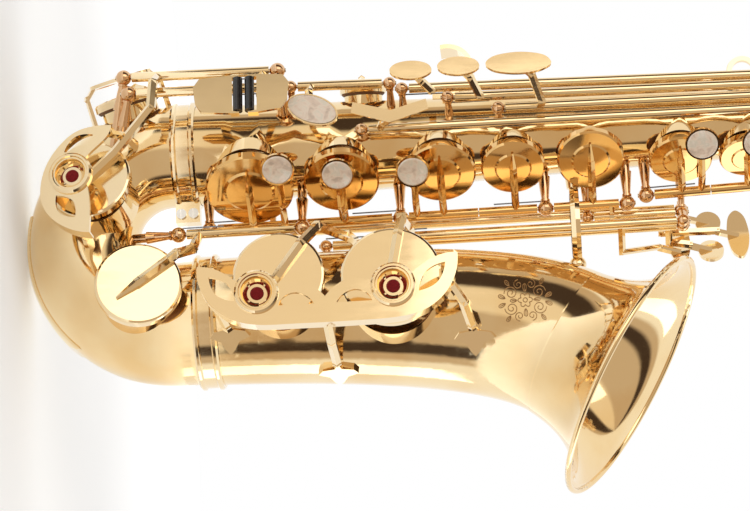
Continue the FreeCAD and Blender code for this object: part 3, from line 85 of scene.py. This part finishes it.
# Colours are linear RGB.
GOLD_PALE = (0.93, 0.74, 0.44, 1.0)
GOLD_DEEP = (0.86, 0.60, 0.28, 1.0)
# The amber pair is a painted reflection: brass tinted deeper amber for the stack cups mirrored in one
# another.
PAINTED_REFLECTION_AMBER = (0.82, 0.52, 0.21, 1.0)
GOLD_ROSE = (0.79, 0.51, 0.28, 1.0)
GOLD_CREAM = (0.92, 0.73, 0.45, 1.0)
PAINTED_REFLECTION_BROWN = (0.76, 0.46, 0.16, 1.0)
ROSE_SHADE = (0.74, 0.46, 0.25, 1.0)
STEEL_LIGHT, STEEL_SHADE = (0.80, 0.70, 0.55, 1.0), (0.62, 0.50, 0.36, 1.0)
BLUE_LIGHT, BLUE_SHADE = (0.30, 0.36, 0.48, 1.0), (0.16, 0.20, 0.30, 1.0)
NICKEL_LIGHT, NICKEL_SHADE = (0.78, 0.76, 0.72, 1.0), (0.62, 0.60, 0.56, 1.0)
LINE_LIGHT, LINE_SHADE = (0.50, 0.30, 0.13, 1.0), (0.30, 0.17, 0.07, 1.0)


# ---------------------------------------------------------------- materials


class Nodes:
    """A material's node tree, with short calls to add and join its nodes."""

    def __init__(self, name):
        self.material = bpy.data.materials.new(name)
        self.material.use_nodes = True
        self.tree = self.material.node_tree
        self.shader = self.tree.nodes["Principled BSDF"]
        self.place = self.add("ShaderNodeTexCoord")

    def add(self, kind, **values):
        node = self.tree.nodes.new(kind)
        for key, value in values.items():
            setattr(node, key, value)
        return node

    def join(self, source, target):
        self.tree.links.new(source, target)

    def noise(self, scale, detail=3.0, stretch=(1.0, 1.0, 1.0), roughness=0.5):
        """Noise with that many cells to the metre, stretched along the object's axes."""
        mapping = self.add("ShaderNodeMapping")
        mapping.inputs["Scale"].default_value = stretch
        self.join(self.place.outputs["Object"], mapping.inputs["Vector"])
        noise = self.add("ShaderNodeTexNoise")
        noise.inputs["Scale"].default_value = scale
        noise.inputs["Detail"].default_value = detail
        noise.inputs["Roughness"].default_value = roughness
        self.join(mapping.outputs["Vector"], noise.inputs["Vector"])
        return noise.outputs["Fac"]

    def cells(self, scale, feature="F1"):
        voronoi = self.add("ShaderNodeTexVoronoi", feature=feature)
        voronoi.inputs["Scale"].default_value = scale
        self.join(self.place.outputs["Object"], voronoi.inputs["Vector"])
        return voronoi.outputs["Distance"]

    def ramp(self, source, stops):
        ramp = self.add("ShaderNodeValToRGB")
        ramp.color_ramp.elements[0].position = stops[0][0]
        ramp.color_ramp.elements[0].color = stops[0][1]
        ramp.color_ramp.elements[1].position = stops[-1][0]
        ramp.color_ramp.elements[1].color = stops[-1][1]
        for position, colour in stops[1:-1]:
            ramp.color_ramp.elements.new(position).color = colour
        self.join(source, ramp.inputs["Fac"])
        return ramp.outputs["Color"]

    def spread(self, source, low, high):
        """The source's middle range, 0.3 to 0.7, mapped to low..high."""
        span = self.add("ShaderNodeMapRange")
        span.inputs["From Min"].default_value = 0.3
        span.inputs["From Max"].default_value = 0.7
        span.inputs["To Min"].default_value = low
        span.inputs["To Max"].default_value = high
        self.join(source, span.inputs["Value"])
        return span.outputs["Result"]

    def bump(self, height, distance, strength=1.0, below=None):
        bump = self.add("ShaderNodeBump")
        bump.inputs["Strength"].default_value = strength
        bump.inputs["Distance"].default_value = distance
        self.join(height, bump.inputs["Height"])
        if below is not None:
            self.join(below, bump.inputs["Normal"])
        return bump.outputs["Normal"]

    def set(self, **sockets):
        for key, value in sockets.items():
            self.shader.inputs[key.replace("_", " ")].default_value = value

    def colour(self, source):
        self.join(source, self.shader.inputs["Base Color"])

    def normal(self, source):
        self.join(source, self.shader.inputs["Normal"])


def metal(name, light, dark, rough=(0.05, 0.11), ripple=0.00025, ripple_scale=14.0, coat=0.35):
    """Polished metal under clear lacquer: two tones, fine wipe marks and a slow ripple in the sheet."""
    m = Nodes(name)
    m.set(Metallic=1.0, Coat_Weight=coat, Coat_Roughness=0.04)
    m.colour(m.ramp(m.noise(22.0, 4.0), [(0.32, dark), (0.62, light)]))
    wipes = m.noise(260.0, 5.0, stretch=(1.0, 1.0, 0.18), roughness=0.65)
    m.join(m.spread(wipes, *rough), m.shader.inputs["Roughness"])
    slow = m.bump(m.noise(ripple_scale, 1.0), ripple)
    m.normal(m.bump(wipes, 0.000004, below=slow))
    return m.material


def leather():
    m = Nodes("pad_leather")
    m.set(Sheen_Weight=0.15, Specular_IOR_Level=0.35)
    tone = m.noise(70.0, 4.0)
    m.colour(m.ramp(tone, [(0.3, (0.16, 0.075, 0.035, 1.0)), (0.7, (0.33, 0.17, 0.09, 1.0))]))
    grain = m.cells(1400.0)
    m.join(m.spread(tone, 0.5, 0.7), m.shader.inputs["Roughness"])
    m.normal(m.bump(grain, 0.00012, 0.6))
    return m.material


def pearl():
    """Mother of pearl: soft clouds of pink, cream and grey-green under a clear polish."""
    m = Nodes("mother_of_pearl")
    m.set(Roughness=0.22, Coat_Weight=0.6, Coat_Roughness=0.05, Specular_IOR_Level=0.7)
    bend = m.noise(120.0, 2.0)
    mixed = m.add("ShaderNodeVectorMath", operation="SCALE")
    mixed.inputs["Scale"].default_value = 0.012
    split = m.add("ShaderNodeCombineXYZ")
    m.join(bend, split.inputs["X"])
    m.join(bend, split.inputs["Z"])
    m.join(split.outputs["Vector"], mixed.inputs[0])
    moved = m.add("ShaderNodeVectorMath", operation="ADD")
    m.join(mixed.outputs["Vector"], moved.inputs[0])
    m.join(m.place.outputs["Object"], moved.inputs[1])
    clouds = m.add("ShaderNodeTexNoise")
    clouds.inputs["Scale"].default_value = 260.0
    clouds.inputs["Detail"].default_value = 4.0
    m.join(moved.outputs["Vector"], clouds.inputs["Vector"])
    stops = [
        (0.30, (0.60, 0.50, 0.42, 1.0)),
        (0.42, (0.76, 0.63, 0.53, 1.0)),
        (0.52, (0.84, 0.74, 0.64, 1.0)),
        (0.62, (0.74, 0.70, 0.61, 1.0)),
        (0.72, (0.88, 0.80, 0.73, 1.0)),
    ]
    m.colour(m.ramp(clouds.outputs["Fac"], stops))
    m.normal(m.bump(clouds.outputs["Fac"], 0.00002))
    return m.material


def felt():
    m = Nodes("red_felt")
    m.set(Sheen_Weight=0.8, Sheen_Roughness=0.4, Roughness=0.95, Specular_IOR_Level=0.15)
    m.set(Sheen_Tint=(0.9, 0.25, 0.22, 1.0))
    fibre = m.noise(2600.0, 5.0, roughness=0.7)
    m.colour(m.ramp(fibre, [(0.35, (0.09, 0.006, 0.008, 1.0)), (0.65, (0.30, 0.018, 0.022, 1.0))]))
    m.normal(m.bump(fibre, 0.0003))
    return m.material


def resin(name, low, high, rough, scale=500.0, dent=0.00002):
    """A hard black resin or plastic: nearly even, with soft mottling and a fine surface."""
    m = Nodes(name)
    m.set(Specular_IOR_Level=0.55, Coat_Weight=0.3, Coat_Roughness=0.08)
    mottle = m.noise(scale, 4.0)
    m.colour(m.ramp(mottle, [(0.3, low), (0.7, high)]))
    m.join(m.spread(mottle, *rough), m.shader.inputs["Roughness"])
    m.normal(m.bump(mottle, dent))
    return m.material


def cork():
    m = Nodes("cork")
    m.set(Specular_IOR_Level=0.25)
    grain = m.noise(900.0, 6.0, roughness=0.7)
    stops = [
        (0.34, (0.10, 0.045, 0.02, 1.0)),
        (0.46, (0.42, 0.24, 0.11, 1.0)),
        (0.70, (0.62, 0.41, 0.22, 1.0)),
    ]
    m.colour(m.ramp(grain, stops))
    m.join(m.spread(grain, 0.75, 0.95), m.shader.inputs["Roughness"])
    m.normal(m.bump(grain, 0.0002))
    return m.material


def cane():
    """Reed cane: straw yellow with long fibres along the reed."""
    m = Nodes("cane")
    m.set(Specular_IOR_Level=0.35)
    fibre = m.noise(2200.0, 4.0, stretch=(0.05, 1.0, 0.3))
    m.colour(m.ramp(fibre, [(0.3, (0.50, 0.34, 0.13, 1.0)), (0.7, (0.82, 0.66, 0.36, 1.0))]))
    m.join(m.spread(fibre, 0.45, 0.65), m.shader.inputs["Roughness"])
    m.normal(m.bump(fibre, 0.00005))
    return m.material


BRASS = metal("lacquered_brass", GOLD_PALE, GOLD_DEEP)
KEY_BRASS = metal("key_brass", GOLD_CREAM, GOLD_PALE, ripple=0.00004, ripple_scale=60.0)
# Stack cups: brass with a painted reflection, its amber tint standing for the neighbouring cups seen in
# it.
CUP_BRASS_PAINTED_REFLECTION = metal("stack_cup_painted_reflection", PAINTED_REFLECTION_AMBER, PAINTED_REFLECTION_BROWN, ripple=0.00012, ripple_scale=45.0)
ROSE_BRASS = metal("post_brass", GOLD_ROSE, ROSE_SHADE, rough=(0.08, 0.16), ripple=0.0)
STEEL = metal("rod_steel", STEEL_LIGHT, STEEL_SHADE, rough=(0.1, 0.2), ripple=0.0)
BLUED = metal("blued_steel", BLUE_LIGHT, BLUE_SHADE, rough=(0.15, 0.3), ripple=0.0)
NICKEL = metal("screw_nickel", NICKEL_LIGHT, NICKEL_SHADE, rough=(0.1, 0.2), ripple=0.0)
LEATHER = leather()
PEARL = pearl()
FELT = felt()
ROLLER = resin("roller_black", (0.006, 0.006, 0.007, 1.0), (0.018, 0.017, 0.017, 1.0), (0.12, 0.22))
EBONITE = resin("ebonite", (0.005, 0.005, 0.006, 1.0), (0.014, 0.013, 0.013, 1.0), (0.16, 0.3))
CORK = cork()
CANE = cane()

# Nodes made of one material throughout. Every other node is a key: metal, its pad, and its pearl button.
WEARS = (
    (BRASS, ("body_tube", "bell", "bow", "bow_guard", "neck")),
    (KEY_BRASS, ("body_ferrule", "bell_ferrule", "bell_brace", "bell_key_guard", "low_c_guard")),
    (KEY_BRASS, ("low_eb_guard", "bumper_cups", "strap_ring", "thumb_hook", "neck_receiver")),
    (KEY_BRASS, ("neck_screw", "neck_octave_key", "ligature")),
    (ROSE_BRASS, ("posts",)),
    (STEEL, ("hinge_rods", "neck_hinge_rod")),
    (BLUED, ("needle_springs",)),
    (NICKEL, ("clamp_screws",)),
    (FELT, ("bumper_felts",)),
    (EBONITE, ("thumb_rest", "mouthpiece")),
    (ROLLER, ("c_roller", "eb_roller")),
    (CORK, ("neck_cork",)),
    (CANE, ("reed",)),
)
PLAIN = {node: material for material, nodes in WEARS for node in nodes}
STACK = (
    "d_key", "e_key", "f_key", "fsharp_cup", "g_key",
    "gsharp_key", "a_key", "bis_key", "b_key", "c_cup",
)


def shell_ranks(mesh):
    """For each face, the rank by size of the closed shell that it is part of: 0 is the largest."""
    count = len(mesh.vertices)
    places = np.empty(count * 3, dtype=np.float32)
    mesh.vertices.foreach_get("co", places)
    places = places.reshape(-1, 3)
    _, welded = np.unique(np.round(places * 1e6).astype(np.int64), axis=0, return_inverse=True)
    welded = welded.ravel()
    ends = np.empty(len(mesh.edges) * 2, dtype=np.int64)
    mesh.edges.foreach_get("vertices", ends)
    one, other = welded[ends.reshape(-1, 2)].T
    label = np.arange(welded.max() + 1)
    while True:
        low = np.minimum(label[one], label[other])
        joined = label.copy()
        np.minimum.at(joined, one, low)
        np.minimum.at(joined, other, low)
        joined = joined[joined]
        if (joined == label).all():
            break
        label = joined
    owner = label[welded]
    size = {}
    for shell in np.unique(owner):
        part = places[owner == shell]
        size[shell] = float(np.linalg.norm(part.max(axis=0) - part.min(axis=0)))
    ranks = {shell: rank for rank, shell in enumerate(sorted(size, key=lambda s: -size[s]))}
    firsts = np.empty(len(mesh.polygons), dtype=np.int64)
    mesh.polygons.foreach_get("loop_start", firsts)
    corners = np.empty(len(mesh.loops), dtype=np.int64)
    mesh.loops.foreach_get("vertex_index", corners)
    return [ranks[s] for s in owner[corners[firsts]]]


def paint(node, *materials):
    """Gives each shell of the node its material, largest first; the last one serves the rest."""
    mesh = NODES[node].data
    mesh.materials.clear()
    for material in materials:
        mesh.materials.append(material)
    if len(materials) == 1:
        mesh.polygons.foreach_set("material_index", [0] * len(mesh.polygons))
        return
    last = len(materials) - 1
    mesh.polygons.foreach_set("material_index", [min(rank, last) for rank in shell_ranks(mesh)])


def paint_all():
    for name in NODES:
        if name in PLAIN:
            paint(name, PLAIN[name])
        else:
            # Stack keys get the brass with the painted amber reflection.
            paint(name, CUP_BRASS_PAINTED_REFLECTION if name in STACK else KEY_BRASS, LEATHER, PEARL)


# ---------------------------------------------------------------- engraving on the bell

VIEW_SIDE = Vector((math.cos(CAMERA_TURN), math.sin(CAMERA_TURN), 0.0))
VIEW_IN = Vector((-math.sin(CAMERA_TURN), math.cos(CAMERA_TURN), 0.0))
BELL_LOW, BELL_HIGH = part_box("bell")
ENGRAVING_UP = BELL_LOW.z + 0.65 * (BELL_HIGH.z - BELL_LOW.z)
ENGRAVING_SIDE = BELL_LOW.x + 0.2 * (BELL_HIGH.x - BELL_LOW.x)
LINE_R = 0.00024
RAY_START = 0.4
SCROLL_STEPS, LEAF_STEPS, ROSETTE_STEPS = 28, 24, 96
# Leaves outside the scrolls, in millimetres: place along and across, length, width and tilt in radians.
OUTER_LEAVES = ((9.4, 1.2, 3.4, 0.95, 0.45), (7.2, 7.0, 3.2, 0.9, 0.95))


def spiral(along, side, start, turns, first, last, sense):
    """A scroll that winds from radius first to radius last, in millimetres."""
    steps = int(SCROLL_STEPS * turns)
    points = []
    for i in range(steps + 1):
        share = i / steps
        angle = start + sense * share * turns * math.tau
        radius = first + (last - first) * share
        points.append((along + radius * math.cos(angle), side + radius * math.sin(angle)))
    return points


def leaf(along, side, length, width, angle):
    """A pointed leaf with its mid vein."""
    edge = []
    for i in range(LEAF_STEPS + 1):
        turn = i / LEAF_STEPS * math.tau
        out = length * (0.5 - 0.5 * math.cos(turn))
        wide = width * math.sin(turn) * math.sin(turn / 2) ** 0.6
        edge.append((out, wide))
    c, s = math.cos(angle), math.sin(angle)

    def place(u, w):
        return (along + u * c - w * s, side + u * s + w * c)

    return [[place(u, w) for u, w in edge], [place(0.0, 0.0), place(length * 0.8, 0.0)]]


def rosette(along, side, radius, petals):
    points = []
    for i in range(ROSETTE_STEPS + 1):
        angle = i / ROSETTE_STEPS * math.tau
        reach = radius * (0.62 + 0.38 * abs(math.cos(petals * angle / 2)))
        points.append((along + reach * math.cos(angle), side + reach * math.sin(angle)))
    return points


def floral_strokes():
    """A flower between two pairs of scrolls, with leaves along them."""
    strokes = [rosette(0.0, 0.0, 3.4, 6), spiral(0.0, 0.0, 0.0, 1.0, 1.0, 1.0, 1)]
    for way in (-1, 1):
        for flip in (-1, 1):
            strokes.append(spiral(way * 6.6, flip * 3.6, math.pi * (way < 0), 1.7, 3.2, 0.5, way * flip))
            strokes.append(spiral(way * 3.0, flip * 7.4, flip * 1.57, 1.4, 2.3, 0.4, -way * flip))
            for along, side, length, width, tilt in OUTER_LEAVES:
                angle = flip * tilt if way > 0 else math.pi - flip * tilt
                strokes += leaf(way * along, flip * side, length, width, angle)
        strokes += leaf(0.0, way * 4.0, 3.6, 1.0, way * math.pi / 2)
        strokes += leaf(way * 4.0, 0.0, 3.0, 0.9, 0.0 if way > 0 else math.pi)
    return strokes


def engraving():
    """Fine floral lines laid along the bell's skin, on the side towards the viewer."""
    mesh = NODES["bell"].data
    corners = [v.co for v in mesh.vertices]
    skin = BVHTree.FromPolygons(corners, [tuple(f.vertices) for f in mesh.polygons])
    data = bpy.data.curves.new("bell_engraving", "CURVE")
    data.dimensions = "3D"
    data.bevel_depth = LINE_R
    data.bevel_resolution = 1
    for stroke in floral_strokes():
        laid = []
        for along, side in stroke:
            start = VIEW_SIDE * (ENGRAVING_SIDE + side / 1000) - VIEW_IN * RAY_START
            start.z = ENGRAVING_UP + along / 1000
            hit = skin.ray_cast(start, VIEW_IN)[0]
            if hit is not None:
                laid.append(hit)
        spline = data.splines.new("POLY")
        spline.points.add(len(laid) - 1)
        for point, hit in zip(spline.points, laid):
            point.co = (*hit, 1.0)
    piece = bpy.data.objects.new("bell_engraving", data)
    bpy.context.scene.collection.objects.link(piece)
    data.materials.append(metal("engraved_line", LINE_LIGHT, LINE_SHADE, rough=(0.3, 0.45)))
    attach(piece, "horn")


# ---------------------------------------------------------------- floor, light and camera


def floor():
    """A round pale studio floor under the bow, with a painted glow: it emits light of its own, more
    towards its rim.
    """
    work = bmesh.new()
    bmesh.ops.create_circle(work, cap_ends=True, radius=FLOOR_R, segments=96)
    mesh = bpy.data.meshes.new("floor")
    work.to_mesh(mesh)
    work.free()
    piece = bpy.data.objects.new("floor", mesh)
    piece.location = (FLOOR_X, 0.0, CAD_LOW.z - FLOOR_GAP)
    bpy.context.scene.collection.objects.link(piece)
    m = Nodes("floor_painted_glow")
    # Painted light: the floor's own emission, growing brighter with distance from the centre.
    reach = m.add("ShaderNodeVectorMath", operation="LENGTH")
    m.join(m.place.outputs["Object"], reach.inputs[0])
    glow = m.add("ShaderNodeMapRange")
    glow.inputs["From Min"].default_value = GLOW_FROM
    glow.inputs["From Max"].default_value = FLOOR_R
    glow.inputs["To Min"].default_value = GLOW_NEAR
    glow.inputs["To Max"].default_value = GLOW_EDGE
    m.join(reach.outputs["Value"], glow.inputs["Value"])
    m.join(glow.outputs["Result"], m.shader.inputs["Emission Strength"])
    m.colour(m.ramp(m.noise(3.0, 4.0), [(0.3, FLOOR_SHADE), (0.7, FLOOR_PALE)]))
    m.set(Roughness=0.9, Specular_IOR_Level=0.1, Emission_Color=(0.9, 0.95, 1.0, 1.0))
    mesh.materials.append(m.material)


def softbox(name, at, towards, width, height, power):
    light = bpy.data.lights.new(name, "AREA")
    light.shape = "RECTANGLE"
    light.size = width
    light.size_y = height
    light.energy = power
    lamp = bpy.data.objects.new(name, light)
    lamp.location = at
    lamp.rotation_mode = "QUATERNION"
    lamp.rotation_quaternion = (Vector(towards) - Vector(at)).to_track_quat("-Z", "Y")
    bpy.context.scene.collection.objects.link(lamp)


# The studio that the metal reflects: pale paper, with a warm and dimmer side towards the viewer, between
# two dark gaps. Each band starts at its angle: degrees round the horn from the viewer, towards the bell.
PAPER = (1.0, 0.98, 0.95, 1.0)
ROOM = (0.60, 0.48, 0.36, 1.0)
WARM = (0.90, 0.78, 0.62, 1.0)
DARK = (0.06, 0.04, 0.03, 1.0)
SOFT_EDGE = 3.0
BANDS = [
    (-75.0, DARK),
    (-60.0, WARM),
    (-20.0, ROOM),
    (40.0, DARK),
    (60.0, ROOM),
    (75.0, PAPER),
    (255.0, ROOM),
    (270.0, DARK),
]


def band_stops():
    """Colour ramp stops for the bands: each starts at its angle, with a soft edge before it."""
    viewer = math.degrees(CAMERA_TURN) - 90.0

    def share(angle):
        return ((viewer + angle + 180.0) % 360.0) / 360.0

    stops = []
    before = BANDS[-1][1]
    for angle, colour in BANDS:
        stops.append((share(angle - SOFT_EDGE), before))
        stops.append((share(angle + SOFT_EDGE), colour))
        before = colour
    stops.sort(key=lambda stop: stop[0])
    wrap = stops[-1][1]
    return [(0.0, wrap)] + stops + [(1.0, wrap)]


def surroundings():
    """Lights the metal with the bands, and shows the camera plain white behind the horn."""
    world = bpy.data.worlds.new("studio")
    world.use_nodes = True
    bpy.context.scene.world = world
    tree = world.node_tree
    add = tree.nodes.new
    join = tree.links.new
    background = tree.nodes["Background"]
    place = add("ShaderNodeTexCoord")
    round_axis = add("ShaderNodeTexGradient")
    round_axis.gradient_type = "RADIAL"
    join(place.outputs["Generated"], round_axis.inputs["Vector"])
    ramp = add("ShaderNodeValToRGB")
    stops = band_stops()
    elements = ramp.color_ramp.elements
    elements[0].position, elements[0].color = stops[0]
    elements[1].position, elements[1].color = stops[-1]
    for position, colour in stops[1:-1]:
        elements.new(position).color = colour
    join(round_axis.outputs["Fac"], ramp.inputs["Fac"])
    seen = add("ShaderNodeLightPath")
    mix = add("ShaderNodeMix")
    mix.data_type = "RGBA"
    join(seen.outputs["Is Camera Ray"], mix.inputs[0])
    join(ramp.outputs["Color"], mix.inputs[6])
    mix.inputs[7].default_value = (1.0, 1.0, 1.0, 1.0)
    join(mix.outputs[2], background.inputs["Color"])
    background.inputs["Strength"].default_value = 1.0


def camera():
    data = bpy.data.cameras.new("view")
    data.lens = LENS
    data.sensor_width = SENSOR
    data.clip_start = CLIP_NEAR
    data.clip_end = CLIP_FAR
    data.dof.use_dof = False
    view = bpy.data.objects.new("view", data)
    back = (CAMERA_AT - AIM_AT).normalized()
    right = Vector((0.0, 0.0, 1.0)) * math.cos(CAMERA_ROLL) + VIEW_SIDE * math.sin(CAMERA_ROLL)
    right = (right - back * right.dot(back)).normalized()
    up = back.cross(right)
    turn = Matrix((right, up, back)).transposed()
    view.matrix_world = Matrix.Translation(CAMERA_AT) @ turn.to_4x4()
    bpy.context.scene.collection.objects.link(view)
    bpy.context.scene.camera = view


paint_all()
engraving()
surroundings()
floor()
for light_name, facts in LIT_FROM.items():
    softbox(light_name, *facts)
camera()
bpy.context.scene.view_settings.view_transform = "Standard"
